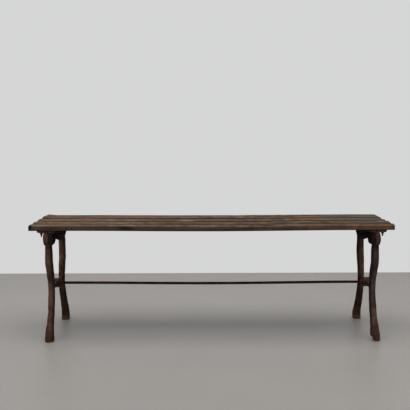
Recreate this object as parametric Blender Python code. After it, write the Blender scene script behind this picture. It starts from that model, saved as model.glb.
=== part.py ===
"""Rustic garden bench: four worn timber slats bolted to two cast-iron end frames, tied by an iron rod.

Metres, +Z up. X runs along the bench, -Y is the front, and the origin is on the floor under the middle.
A setback is a distance behind the front edge of the seat.
"""

import math

import bmesh
import bpy
from mathutils import Matrix, Vector

for old in list(bpy.data.objects):
    bpy.data.objects.remove(old, do_unlink=True)

# Seat slats, from a narrow front one to a wider rear one
SEAT_HEIGHT = 0.460
SLAT_LENGTH = 1.400
FRONT_SLAT_WIDTH = 0.055
MIDDLE_SLAT_WIDTH = 0.088
REAR_SLAT_WIDTH = 0.098
SLAT_THICKNESS = 0.0215
SLAT_GAP = 0.0105
SLAT_EDGE_ROUND = 0.004
SLAT_SAG = 0.0035
SLAT_OVERHANG = 0.064

# Legs of the end frames
LEG_WIDTH = 0.025
LEG_DEPTH = 0.034
KNEE_WIDTH = 0.0275
FOOT_WIDTH = 0.033
FOOT_LENGTH = 0.048
HOOF_HEIGHT = 0.020
HOOF_GROOVE = 0.0012
ANKLE_HEIGHT = 0.050
WAIST_HEIGHT = 0.197
KNEE_HEIGHT = 0.305
FRONT_FOOT_SETBACK = 0.035
FRONT_WAIST_SETBACK = 0.098
FRONT_KNEE_SETBACK = 0.054
REAR_FOOT_SETBACK = 0.408
REAR_WAIST_SETBACK = 0.328
REAR_KNEE_SETBACK = 0.358
REAR_TOP_SETBACK = 0.346
REAR_LEG_INSET = 0.002
FRONT_ANKLE_LEAN = 0.6
REAR_ANKLE_LEAN = -0.9
FRONT_KNEE_LEAN = -0.6
REAR_KNEE_LEAN = -0.05
LEG_SQUARENESS = 3.0
CHIP_WIDTH = 0.013
CHIP_HEIGHT = 0.017
CHIP_SLANT = math.radians(18)

# Seat rail of the end frames, a deep branch-like beam with a rounded knob at its front end
RAIL_WIDTH = 0.026
KNOB_HEIGHT = 0.061
LOBE_HEIGHT = 0.066
RAIL_THROAT_HEIGHT = 0.042
RAIL_REAR_HEIGHT = 0.074
KNOB_WIDTH = 0.033
KNOB_SETBACK = 0.004
KNOB_LENGTH = 0.036
LOBE_LENGTH = 0.102
LOBE_DROP = 0.004
RAIL_END_OVERRUN = 0.004
RAIL_END_ROUND = 0.030
RAIL_SQUARENESS = 3.2

# Slat flange on top of the rail, whose lip reaches past the line of the bolts
FLANGE_THICKNESS = 0.010
FLANGE_LIP = 0.0085
FLANGE_INNER = 0.036
FLANGE_FRONT_SETBACK = 0.012
FLANGE_REAR_MARGIN = 0.016
FLANGE_CORNER = 0.006

# Crossbar at the waist of the frame, with the boss that the tie rod passes through
CROSSBAR_HEIGHT = 0.018
CROSSBAR_THICKNESS = 0.016
BOSS_DIAMETER = 0.039
BOSS_LENGTH = 0.030
BOSS_ROUND = 0.0015

# Tie rod, its nuts and washers
ROD_DIAMETER = 0.010
ROD_SAG = 0.004
ROD_STICKOUT = 0.005
ROD_NUT_FLATS = 0.017
ROD_NUT_HEIGHT = 0.008
ROD_WASHER_DIAMETER = 0.023
ROD_WASHER_THICKNESS = 0.002

# Countersunk slat bolts, their square nuts and washers
BOLT_DIAMETER = 0.006
BOLT_HEAD_DIAMETER = 0.014
BOLT_HEAD_RIM = 0.001
BOLT_HEAD_SINK = 0.0006
BOLT_TAIL = 0.016
KNOB_TO_BOLT = 0.0055
NUT_FLATS = 0.010
NUT_HEIGHT = 0.005
WASHER_DIAMETER = 0.014
WASHER_THICKNESS = 0.0015

# Fits: the gap between seated faces, and the radial clearance of a hole
SEAT_FIT = 0.0003
HOLE_CLEARANCE = 0.0004

# Fineness of the rounded sections
LEG_SIDES = 16
ROUND_SIDES = 12
LEG_STEPS = 7
SAG_STEPS = 14
NOSE_SHARES = (0.04, 0.15, 0.35, 0.65, 1.0)
SMOOTH_ANGLE = math.radians(35)

# Places that follow from the sizes above
SEAT_END = SLAT_LENGTH / 2
FRAME_SPACING = 2 * (SEAT_END - SLAT_OVERHANG)
SLAT_WIDTHS = (FRONT_SLAT_WIDTH, MIDDLE_SLAT_WIDTH, MIDDLE_SLAT_WIDTH, REAR_SLAT_WIDTH)
SLAT_COUNT = len(SLAT_WIDTHS)
SEAT_DEPTH = sum(SLAT_WIDTHS) + (SLAT_COUNT - 1) * SLAT_GAP
BENCH_DEPTH = max(SEAT_DEPTH, REAR_FOOT_SETBACK + FOOT_LENGTH / 2)
SLAT_UNDERSIDE = SEAT_HEIGHT - SLAT_THICKNESS
FLANGE_TOP = SLAT_UNDERSIDE - SEAT_FIT
FLANGE_UNDERSIDE = FLANGE_TOP - FLANGE_THICKNESS
RAIL_TOP = FLANGE_UNDERSIDE + FLANGE_THICKNESS / 2
RAIL_END_SETBACK = SEAT_DEPTH + RAIL_END_OVERRUN
BOSS_SETBACK = (FRONT_WAIST_SETBACK + REAR_WAIST_SETBACK) / 2
BOLT_TIP = FLANGE_UNDERSIDE - BOLT_TAIL
BOLT_OUTBOARD = KNOB_WIDTH / 2 + KNOB_TO_BOLT
FLANGE_OUTER = BOLT_OUTBOARD + FLANGE_LIP
BOLT_RADIUS = BOLT_DIAMETER / 2
ROD_RADIUS = ROD_DIAMETER / 2
RIGHT, LEFT = 1, -1


def depth(setback):
    """Y of a place this far behind the front edge of the seat."""
    return setback - BENCH_DEPTH / 2


def between(start, end, share, lean_start=0.0, lean_end=0.0):
    """Smooth curve from one (height, setback) to the next that leaves and arrives with the given leans."""
    rise = end[0] - start[0]
    height = start[0] + rise * share
    setback = start[1] + (end[1] - start[1]) * share**2 * (3 - 2 * share)
    setback += rise * lean_start * share * (1 - share) ** 2
    setback -= rise * lean_end * share**2 * (1 - share)
    return height, setback


def sag_at(x, half_span, sag):
    """Drop of a sagging bar at x: none at its supports, most in the middle."""
    if abs(x) >= half_span:
        return 0.0
    return sag * math.cos(math.pi * x / (2 * half_span)) ** 2


def material(name, colour, roughness, metallic):
    made = bpy.data.materials.new(name)
    made.use_nodes = True
    shader = made.node_tree.nodes["Principled BSDF"]
    shader.inputs["Base Color"].default_value = (*colour, 1.0)
    shader.inputs["Roughness"].default_value = roughness
    shader.inputs["Metallic"].default_value = metallic
    made.diffuse_color = (*colour, 1.0)
    return made


def finished(name, mesh, look):
    """Turns a bmesh into a named, smooth-shaded object of one material."""
    bmesh.ops.recalc_face_normals(mesh, faces=mesh.faces)
    data = bpy.data.meshes.new(name)
    mesh.to_mesh(data)
    mesh.free()
    data.shade_smooth()
    data.set_sharp_from_angle(angle=SMOOTH_ANGLE)
    data.materials.append(look)
    made = bpy.data.objects.new(name, data)
    bpy.context.scene.collection.objects.link(made)
    return made


def add_ring(mesh, place, half_width, half_height, sides, squareness=2.0, flats=0):
    """Adds a closed ring of edges in the plane of place: an ellipse, a rounded box or a polygon of flats."""
    verts = bmesh.ops.create_circle(mesh, segments=sides, radius=1.0)["verts"]
    for vert in verts:
        x, y = vert.co.x, vert.co.y
        if flats:
            wedge = math.tau / flats
            reach = 1 / math.cos(math.atan2(y, x) % wedge - wedge / 2)
        else:
            reach = (abs(x) ** squareness + abs(y) ** squareness) ** (-1 / squareness)
        vert.co = place @ Vector((x * reach * half_width, y * reach * half_height, 0))
    return list({edge for vert in verts for edge in vert.link_edges})


def loft(name, sections, look, sides=ROUND_SIDES, squareness=2.0):
    """Closed solid through (place, half width, half height) sections, with flat ends."""
    mesh = bmesh.new()
    rings = [add_ring(mesh, *section, sides, squareness) for section in sections]
    for first, second in zip(rings, rings[1:]):
        bmesh.ops.bridge_loops(mesh, edges=first + second)
    for end in (rings[0], rings[-1]):
        bmesh.ops.contextual_create(mesh, geom=end)
    bmesh.ops.triangulate(mesh, faces=mesh.faces)
    return finished(name, mesh, look)


def turned(name, profile, place, look, sides=ROUND_SIDES):
    """Solid of revolution about the Z axis of place, through (height, radius) pairs."""
    sections = [(place @ Matrix.Translation((0, 0, z)), r, r) for z, r in profile]
    return loft(name, sections, look, sides)


def collar(name, place, half_width, hole_radius, height, look, flats=0):
    """Washer or nut that stands on the XY plane of place, with a round hole."""
    mesh = bmesh.new()
    rim = add_ring(mesh, Matrix(), half_width, half_width, ROUND_SIDES, flats=flats)
    disc = bmesh.ops.contextual_create(mesh, geom=rim)["faces"]
    bmesh.ops.inset_individual(mesh, faces=disc, thickness=(half_width - hole_radius) / 2)
    for vert in disc[0].verts:
        vert.co = vert.co.normalized() * hole_radius
    bmesh.ops.delete(mesh, geom=disc, context="FACES_ONLY")
    raised = bmesh.ops.extrude_face_region(mesh, geom=mesh.faces[:])["geom"]
    top = [part for part in raised if isinstance(part, bmesh.types.BMVert)]
    bmesh.ops.translate(mesh, verts=top, vec=(0, 0, height))
    bmesh.ops.transform(mesh, matrix=place, verts=mesh.verts)
    return finished(name, mesh, look)


def block(name, low, high, look, corner=0.0, corner_axis=None):
    """Box between two corners, with the edges along one axis, or all edges, rounded."""
    mesh = bmesh.new()
    low, high = Vector(low), Vector(high)
    place = Matrix.Translation((low + high) / 2) @ Matrix.Diagonal((*(high - low), 1))
    bmesh.ops.create_cube(mesh, size=1.0, matrix=place)
    edges = list(mesh.edges)
    if corner_axis is not None:
        edges = [e for e in edges if e.verts[0].co[corner_axis] != e.verts[1].co[corner_axis]]
    if corner:
        bmesh.ops.bevel(
            mesh, geom=edges, offset=corner, segments=2, profile=0.5, affect="EDGES", material=-1
        )
    return finished(name, mesh, look)


def as_helper(piece):
    piece.hide_render = True
    piece.display_type = "WIRE"
    return piece


def combine(piece, helpers, operation):
    """Joins the helpers to the piece, or cuts them from it, one Boolean each."""
    for helper in helpers:
        step = piece.modifiers.new(f"{operation.lower()} {helper.name}", "BOOLEAN")
        step.operation = operation
        step.solver = "EXACT"
        step.object = as_helper(helper)
    return piece


TIMBER = material("weathered_timber", (0.145, 0.098, 0.066), 0.8, 0.0)
IRON = material("rusty_cast_iron", (0.050, 0.030, 0.022), 0.7, 0.5)
STEEL = material("rusty_bar_steel", (0.040, 0.020, 0.015), 0.65, 0.6)


def slat_centre(number):
    """Setback of the middle of a slat, counted from the front."""
    return sum(SLAT_WIDTHS[:number]) + number * SLAT_GAP + SLAT_WIDTHS[number] / 2


def bolt_place(side, number):
    return side * (FRAME_SPACING / 2 + BOLT_OUTBOARD), depth(slat_centre(number))


def bolt_profile(clearance):
    """Heights and radii of a countersunk bolt or, with a clearance, of its hole."""
    head_top = SEAT_HEIGHT - BOLT_HEAD_SINK
    head_radius = BOLT_HEAD_DIAMETER / 2
    cone_top = head_top - BOLT_HEAD_RIM
    cone_foot = cone_top - (head_radius - BOLT_RADIUS)
    past = SLAT_THICKNESS if clearance else 0.0
    chamfer = 0.0 if clearance else BOLT_RADIUS / 4
    return [
        (BOLT_TIP - past, BOLT_RADIUS - chamfer + clearance),
        (BOLT_TIP + BOLT_RADIUS / 4, BOLT_RADIUS + clearance),
        (cone_foot, BOLT_RADIUS + clearance),
        (cone_top, head_radius + clearance),
        (head_top + past, head_radius + clearance),
    ]


def bolt_hole(name, side, number):
    x, y = bolt_place(side, number)
    return turned(name, bolt_profile(HOLE_CLEARANCE), Matrix.Translation((x, y, 0)), TIMBER)


def make_slat(number):
    """One worn board, flat where it lies on the flanges and sagging between them."""
    name = f"seat_slat_{number + 1}"
    middle = depth(slat_centre(number))
    half_width = SLAT_WIDTHS[number] / 2
    low = Vector((-SEAT_END, middle - half_width, SLAT_UNDERSIDE))
    high = Vector((SEAT_END, middle + half_width, SEAT_HEIGHT))
    board = block(name, low, high, TIMBER, SLAT_EDGE_ROUND)
    half_span = FRAME_SPACING / 2 - FLANGE_INNER
    mesh = bmesh.new()
    mesh.from_mesh(board.data)
    for step in range(SAG_STEPS + 1):
        x = half_span * (2 * step / SAG_STEPS - 1)
        everything = mesh.verts[:] + mesh.edges[:] + mesh.faces[:]
        bmesh.ops.bisect_plane(mesh, geom=everything, plane_co=(x, 0, 0), plane_no=(1, 0, 0))
    for vert in mesh.verts:
        vert.co.z -= sag_at(vert.co.x, half_span, SLAT_SAG)
    mesh.to_mesh(board.data)
    mesh.free()
    holes = [bolt_hole(f"{name}_hole_{side}", side, number) for side in (LEFT, RIGHT)]
    return combine(board, holes, "DIFFERENCE")


def leg_section(x, height, setback, lean, width, length):
    """Level section of a leg, lengthened where the leg leans so that its own depth stays the same."""
    place = Matrix.Translation((x, depth(setback), height))
    return place, width / 2, length / 2 * math.hypot(1, lean)


def leg(name, x, foot_setback, ankle_lean, waist_setback, knee_setback, knee_lean, top_setback):
    """Sweeping leg: a flat-soled hoof, a lean in to the waist and a sweep out again to the rail."""
    ankle = (ANKLE_HEIGHT, foot_setback + (ANKLE_HEIGHT - HOOF_HEIGHT) * ankle_lean / 2)
    waist = (WAIST_HEIGHT, waist_setback)
    knee = (KNEE_HEIGHT, knee_setback)
    top = (RAIL_TOP - RAIL_THROAT_HEIGHT / 2, top_setback)
    groove_height = HOOF_HEIGHT + 2 * HOOF_GROOVE
    hoof = [(0.0, 0.0), (HOOF_HEIGHT, 0.0), (groove_height, HOOF_GROOVE)]
    hoof.append((groove_height + HOOF_GROOVE, 0.0))
    sections = []
    for height, inset in hoof:
        lean = ankle_lean / 4 if height > HOOF_HEIGHT else 0.0
        setback = foot_setback + max(0.0, height - HOOF_HEIGHT) * lean
        sections.append(
            leg_section(x, height, setback, 0.0, FOOT_WIDTH - 2 * inset, FOOT_LENGTH - 2 * inset)
        )
    for start, end, lean_start, lean_end, knee_swell in (
        (ankle, waist, ankle_lean, 0.0, 0.0),
        (waist, knee, 0.0, knee_lean, KNEE_WIDTH - LEG_WIDTH),
    ):
        for step in range(LEG_STEPS):
            share = step / LEG_STEPS
            height, setback = between(start, end, share, lean_start, lean_end)
            nearby = between(start, end, share + 0.1 / LEG_STEPS, lean_start, lean_end)
            lean = (nearby[1] - setback) / (nearby[0] - height)
            swell = max(0.0, 1 - (height - ANKLE_HEIGHT) / (WAIST_HEIGHT - ANKLE_HEIGHT)) ** 2 / 2
            width = LEG_WIDTH + (FOOT_WIDTH - LEG_WIDTH) * swell + knee_swell * share
            sections.append(leg_section(x, height, setback, lean, width, LEG_DEPTH))
    for (height, setback), width in ((knee, KNEE_WIDTH), (top, LEG_WIDTH)):
        sections.append(leg_section(x, height, setback, 0.0, width, LEG_DEPTH))
    return loft(name, sections, IRON, LEG_SIDES, LEG_SQUARENESS)


def rail_section(x, setback, width, height):
    """Upright section of the rail that hangs from the rail's top."""
    place = Matrix.Translation((x, depth(setback), RAIL_TOP - height / 2))
    return place @ Matrix.Rotation(math.pi / 2, 4, "X"), width / 2, height / 2


def nose(x, tip, length, width, height):
    """Sections of a rounded rail end, from its tip to its full size; a negative length points backwards."""
    sections = []
    for share in NOSE_SHARES:
        fullness = math.sqrt(1 - (1 - share) ** 2)
        reach = tip + length * share
        sections.append(rail_section(x, reach, width * fullness, height * (1 + fullness) / 2))
    return sections


def seat_rail(name, x):
    """Deep beam under the slats: a knob in front, a lobe over the front leg, then a rear end that deepens."""
    lobe_end = KNOB_SETBACK + KNOB_LENGTH + LOBE_LENGTH
    sections = nose(x, KNOB_SETBACK, KNOB_LENGTH, KNOB_WIDTH, KNOB_HEIGHT)
    for setback, height in (
        (lobe_end - LOBE_LENGTH / 2, LOBE_HEIGHT),
        (lobe_end, LOBE_HEIGHT),
        (lobe_end + LOBE_DROP, RAIL_THROAT_HEIGHT),
        (REAR_TOP_SETBACK - LEG_DEPTH, RAIL_REAR_HEIGHT),
    ):
        sections.append(rail_section(x, setback, RAIL_WIDTH, height))
    rear_end = nose(x, RAIL_END_SETBACK, -RAIL_END_ROUND, RAIL_WIDTH, RAIL_REAR_HEIGHT)
    return loft(name, sections + rear_end[::-1], IRON, LEG_SIDES, RAIL_SQUARENESS)


def crossbar(name, x):
    """Short bar between the waists of the two legs."""
    sections = []
    for setback in (FRONT_WAIST_SETBACK, BOSS_SETBACK, REAR_WAIST_SETBACK):
        place = Matrix.Translation((x, depth(setback), WAIST_HEIGHT))
        upright = place @ Matrix.Rotation(math.pi / 2, 4, "X")
        sections.append((upright, CROSSBAR_THICKNESS / 2, CROSSBAR_HEIGHT / 2))
    return loft(name, sections, IRON, LEG_SIDES, RAIL_SQUARENESS)


def along_x(x):
    """Place on the tie rod's line whose Z axis points along +X."""
    place = Matrix.Translation((x, depth(BOSS_SETBACK), WAIST_HEIGHT))
    return place @ Matrix.Rotation(math.pi / 2, 4, "Y")


def make_end_frame(name, side):
    """One casting: two legs, the seat rail with its flange, and the crossbar with its boss."""
    x = side * FRAME_SPACING / 2
    front_foot = (FRONT_FOOT_SETBACK, FRONT_ANKLE_LEAN)
    front_knee = (FRONT_KNEE_SETBACK, FRONT_KNEE_LEAN, FRONT_KNEE_SETBACK)
    rear_foot = (REAR_FOOT_SETBACK, REAR_ANKLE_LEAN)
    rear_knee = (REAR_KNEE_SETBACK, REAR_KNEE_LEAN, REAR_TOP_SETBACK)
    frame = leg(name, x, *front_foot, FRONT_WAIST_SETBACK, *front_knee)
    rear_x = x - side * REAR_LEG_INSET
    rear_leg = leg(f"{name}_rear_leg", rear_x, *rear_foot, REAR_WAIST_SETBACK, *rear_knee)
    half_boss = BOSS_LENGTH / 2
    boss = turned(
        f"{name}_boss",
        [
            (-half_boss, BOSS_DIAMETER / 2 - BOSS_ROUND),
            (-half_boss + BOSS_ROUND, BOSS_DIAMETER / 2),
            (half_boss - BOSS_ROUND, BOSS_DIAMETER / 2),
            (half_boss, BOSS_DIAMETER / 2 - BOSS_ROUND),
        ],
        along_x(x),
        IRON,
        LEG_SIDES,
    )
    edges = sorted((x + side * FLANGE_OUTER, x - side * FLANGE_INNER))
    flange = block(
        f"{name}_flange",
        (edges[0], depth(FLANGE_FRONT_SETBACK), FLANGE_UNDERSIDE),
        (edges[1], depth(SEAT_DEPTH - FLANGE_REAR_MARGIN), FLANGE_TOP),
        IRON,
        FLANGE_CORNER,
        corner_axis=2,
    )
    rail = seat_rail(f"{name}_rail", x)
    combine(frame, [rear_leg, rail, crossbar(f"{name}_crossbar", x), boss, flange], "UNION")
    hole_radius = ROD_RADIUS + HOLE_CLEARANCE
    bore = [(-BOSS_LENGTH, hole_radius), (BOSS_LENGTH, hole_radius)]
    rod_hole = turned(f"{name}_rod_hole", bore, along_x(x), IRON)
    holes = [rod_hole] + [bolt_hole(f"{name}_hole_{n}", side, n) for n in range(SLAT_COUNT)]
    return combine(frame, holes, "DIFFERENCE")


def chip_foot(frame, side):
    """Breaks the inner lower corner off a front foot."""
    inner = side * (FRAME_SPACING / 2 - FOOT_WIDTH / 2)
    mesh = bmesh.new()
    size = Vector((2 * CHIP_WIDTH, 2 * FOOT_LENGTH, 2 * CHIP_HEIGHT))
    place = Matrix.Translation((inner, depth(FRONT_FOOT_SETBACK), 0))
    slanted = place @ Matrix.Rotation(side * CHIP_SLANT, 4, "Y")
    bmesh.ops.create_cube(mesh, size=1.0, matrix=slanted @ Matrix.Diagonal((*size, 1)))
    return combine(frame, [finished(f"{frame.name}_chip", mesh, IRON)], "DIFFERENCE")


def make_tie_rod():
    """Round bar through both bosses, sagging between the inner nuts and threaded at its ends."""
    half_boss = BOSS_LENGTH / 2
    clamp = SEAT_FIT + ROD_WASHER_THICKNESS + SEAT_FIT + ROD_NUT_HEIGHT
    reach = FRAME_SPACING / 2 + half_boss + clamp + ROD_STICKOUT
    half_span = FRAME_SPACING / 2 - half_boss - clamp
    stations = [half_span * (2 * step / SAG_STEPS - 1) for step in range(SAG_STEPS + 1)]
    chamfer = ROD_RADIUS / 4
    ends = [(-reach, ROD_RADIUS - chamfer), (-reach + chamfer, ROD_RADIUS)]
    profile = ends + [(x, ROD_RADIUS) for x in stations]
    profile += [(-x, radius) for x, radius in reversed(ends)]
    sections = []
    for x, radius in profile:
        drop = Matrix.Translation((0, 0, -sag_at(x, half_span, ROD_SAG)))
        sections.append((drop @ along_x(x), radius, radius))
    return loft("tie_rod", sections, STEEL)


def make_rod_fasteners(side, side_name):
    """Washer and hexagon nut on both faces of a boss."""
    hole = ROD_RADIUS + SEAT_FIT
    for facing, face_name in ((1, "outer"), (-1, "inner")):
        face = side * (FRAME_SPACING / 2 + facing * (BOSS_LENGTH / 2 + SEAT_FIT))
        outward = Matrix.Rotation(0 if side * facing > 0 else math.pi, 4, "X")
        washer_place = along_x(face) @ outward
        nut_place = washer_place @ Matrix.Translation((0, 0, ROD_WASHER_THICKNESS + SEAT_FIT))
        collar(
            f"tie_rod_washer_{side_name}_{face_name}",
            washer_place,
            ROD_WASHER_DIAMETER / 2,
            hole,
            ROD_WASHER_THICKNESS,
            STEEL,
        )
        collar(
            f"tie_rod_nut_{side_name}_{face_name}",
            nut_place,
            ROD_NUT_FLATS / 2,
            hole,
            ROD_NUT_HEIGHT,
            STEEL,
            flats=6,
        )


def make_slat_fasteners(side, side_name, number):
    """Countersunk bolt from the top of a slat, with a washer and a square nut under the flange."""
    x, y = bolt_place(side, number)
    label = f"{side_name}_{number + 1}"
    turned(f"slat_bolt_{label}", bolt_profile(0.0), Matrix.Translation((x, y, 0)), STEEL)
    washer_foot = FLANGE_UNDERSIDE - SEAT_FIT - WASHER_THICKNESS
    nut_foot = washer_foot - SEAT_FIT - NUT_HEIGHT
    hole = BOLT_RADIUS + SEAT_FIT
    collar(
        f"slat_washer_{label}",
        Matrix.Translation((x, y, washer_foot)),
        WASHER_DIAMETER / 2,
        hole,
        WASHER_THICKNESS,
        STEEL,
    )
    collar(
        f"slat_nut_{label}",
        Matrix.Translation((x, y, nut_foot)) @ Matrix.Rotation(math.pi / 4, 4, "Z"),
        NUT_FLATS / 2,
        hole,
        NUT_HEIGHT,
        STEEL,
        flats=4,
    )


for slat_number in range(SLAT_COUNT):
    make_slat(slat_number)

for end_side, end_name in ((LEFT, "left"), (RIGHT, "right")):
    end_frame = make_end_frame(f"end_frame_{end_name}", end_side)
    if end_side == RIGHT:
        chip_foot(end_frame, end_side)
    make_rod_fasteners(end_side, end_name)
    for slat_number in range(SLAT_COUNT):
        make_slat_fasteners(end_side, end_name, slat_number)

make_tie_rod()
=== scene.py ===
"""Looks of the rustic garden bench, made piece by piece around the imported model, as it is put together.

Metres, +Z up. X runs along the bench and -Y is its front.
"""

import math
import random

import bmesh
import bpy
from mathutils import Matrix, Vector, noise


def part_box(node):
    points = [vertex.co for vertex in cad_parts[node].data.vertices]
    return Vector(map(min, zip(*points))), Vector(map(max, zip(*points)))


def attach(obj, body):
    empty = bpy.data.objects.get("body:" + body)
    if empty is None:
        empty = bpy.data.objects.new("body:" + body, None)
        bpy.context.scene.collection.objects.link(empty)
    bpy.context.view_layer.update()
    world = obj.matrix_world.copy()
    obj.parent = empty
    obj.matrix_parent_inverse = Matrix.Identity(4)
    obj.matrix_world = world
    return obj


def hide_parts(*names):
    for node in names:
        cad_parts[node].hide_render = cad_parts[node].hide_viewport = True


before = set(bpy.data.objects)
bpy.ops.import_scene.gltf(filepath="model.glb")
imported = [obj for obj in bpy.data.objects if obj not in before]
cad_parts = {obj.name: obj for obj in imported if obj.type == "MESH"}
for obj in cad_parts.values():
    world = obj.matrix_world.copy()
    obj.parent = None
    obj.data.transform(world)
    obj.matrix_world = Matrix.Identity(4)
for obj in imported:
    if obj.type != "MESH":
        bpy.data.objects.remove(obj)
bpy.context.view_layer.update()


# End-frame castings
# Each end of the bench is one iron casting in the form of bent branches: two legs on hoof-like feet, a deep
# seat rail with a knob in front, and a crossbar with a boss. It came rough out of a sand mould, got a dark
# coat long ago, and has rusted through that coat since.
CASTING_MESH = 0.00155
CASTING_SMOOTHING = 2
BARK_HEIGHT = 0.0007
BARK_WIDTH = 0.0075
BARK_LENGTH = 0.055
LUMP_HEIGHT = 0.0008
LUMP_SIZE = 0.024
SAND_HEIGHT = 0.00025
SAND_SIZE = 0.0035
PIT_DEPTH = 0.0007
PIT_SIZE = 0.0042
PIT_SHARE = 0.3
PITS_APART = Vector((3.0, 5.0, 7.0))
SCALE_HEIGHT = 0.0011
LEG_SCALE = 0.45
WAIST = 0.197
RAIL_UNDERSIDE = 0.375
KNOB_BACK = -0.182
# where on the casting a look begins and where it is full, along the axis at the end of its name
RAIL_GRAIN_Z = (RAIL_UNDERSIDE - 0.02, RAIL_UNDERSIDE + 0.01)
UNDER_SEAT_Z = (RAIL_UNDERSIDE - 0.03, RAIL_UNDERSIDE + 0.01)
# setback behind the knob where the painted shade under the seat begins and where it is full
SEAT_SHADE_Y = (KNOB_BACK - 0.01, KNOB_BACK + 0.012)
PLUM_X = (-0.6, 0.6)
PLUM_Y = (-0.01, -0.05)
PLUM_Z = (0.07, 0.16)
DAMP_Z = (0.22, 0.06)
SPLASH_Z = (0.04, 0.01)
REAR_LEG_Y = (0.02, 0.10)
REAR_SHADE_Z = (0.22, 0.10)
# heights of the painted light on the rear feet and on the left rear leg's thigh
HEEL_Z = (0.040, 0.018)
THIGH_FOOT_Z = (0.235, 0.265)
THIGH_TOP_Z = (0.385, 0.365)
TOE_Y = (-0.08, -0.12)
TOE_Z = (0.075, 0.030)
FLAKING_Z = (0.12, 0.24)
# the same, by distance from the waist, by how far a face turns inward, and by how sharp a ridge or crevice is
OFF_WAIST = (0.025, 0.06)
INWARD = (0.2, 0.75)
SHARP_RIDGE = (0.53, 0.62)
SHARP_CREVICE = (0.49, 0.43)
# shares of the painted shade low on the rear legs and on the front toes
REAR_SHADE = 0.8
TOE_SHADE = 0.85
PLUM_SHARE = 0.75
SEAT_SHADE_SHARE = 0.95
DAMP_SPOT = 0.02
PATINA_SPOT = 0.030
SHADE_SPOT = 0.03
SPLASH_SPOT = 0.018
COAT_BROWN = (0.094, 0.058, 0.044)
COAT_PLUM = (0.062, 0.045, 0.044)
RUST_RED = (0.115, 0.056, 0.032)
RUST_ORANGE = (0.20, 0.080, 0.032)
# near-black painted shade under the seat rail
SEAT_SHADE_BLACK = (0.0035, 0.0026, 0.0022)
# dark coat of the painted shade on inward faces, low on the rear legs and on the front toes
SHADED_COAT = (0.016, 0.0095, 0.0075)
# near-black painted shade in crevices
CREVICE_SHADE = (0.012, 0.009, 0.008)
# how much the painted light lifts the colour on the rear legs
LIT_PATCH_LIFT = (1.75, 1.68, 1.62)
PATINA_DULL = (0.62, 0.62, 0.64)
PATINA_BRIGHT = (1.62, 1.58, 1.54)
GRIT_DULL = (0.62, 0.62, 0.62)
GRIT_BRIGHT = (1.25, 1.22, 1.2)
GRIT_RELIEF = 0.0009
GRIT_PER_PATCH = 14
GRIT_SWING = 0.06
METAL_SHEEN = 0.06
RUST_EDGE = 0.14
BLOOM_EDGE = 0.12
BLOOM_SHARE = 0.75
BLOOMS_PER_PATCH = 3
MERGE_DISTANCE = 1e-5
SHARP_ANGLE = math.radians(50)
BODY = "root"
# where each casting came out of its mould a little off:
# place, reach, shift along X, and which way along X the shifted faces look (0 for all of them)
UNEVEN = {
    "left": (
        ((-0.648, -0.200, 0.402), 0.035, -0.0025, -1),
        ((-0.600, 0.100, 0.310), 0.100, -0.0025, 1),
        ((-0.632, -0.160, 0.095), 0.080, 0.0035, -1),
        ((-0.630, 0.170, 0.090), 0.130, 0.0022, 0),
        ((-0.667, -0.195, 0.436), 0.024, -0.0085, -1),
        ((-0.620, 0.140, 0.395), 0.028, 0.0065, 1),
    ),
    "right": (
        ((0.648, -0.200, 0.426), 0.028, -0.0085, 1),
        ((0.648, -0.200, 0.402), 0.035, 0.0025, 1),
        ((0.630, 0.100, 0.290), 0.120, 0.0030, 0),
        ((0.645, -0.200, 0.020), 0.070, 0.0035, 1),
        ((0.667, -0.195, 0.436), 0.024, 0.0085, 1),
        ((0.620, 0.140, 0.395), 0.028, -0.0075, -1),
    ),
}


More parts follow.
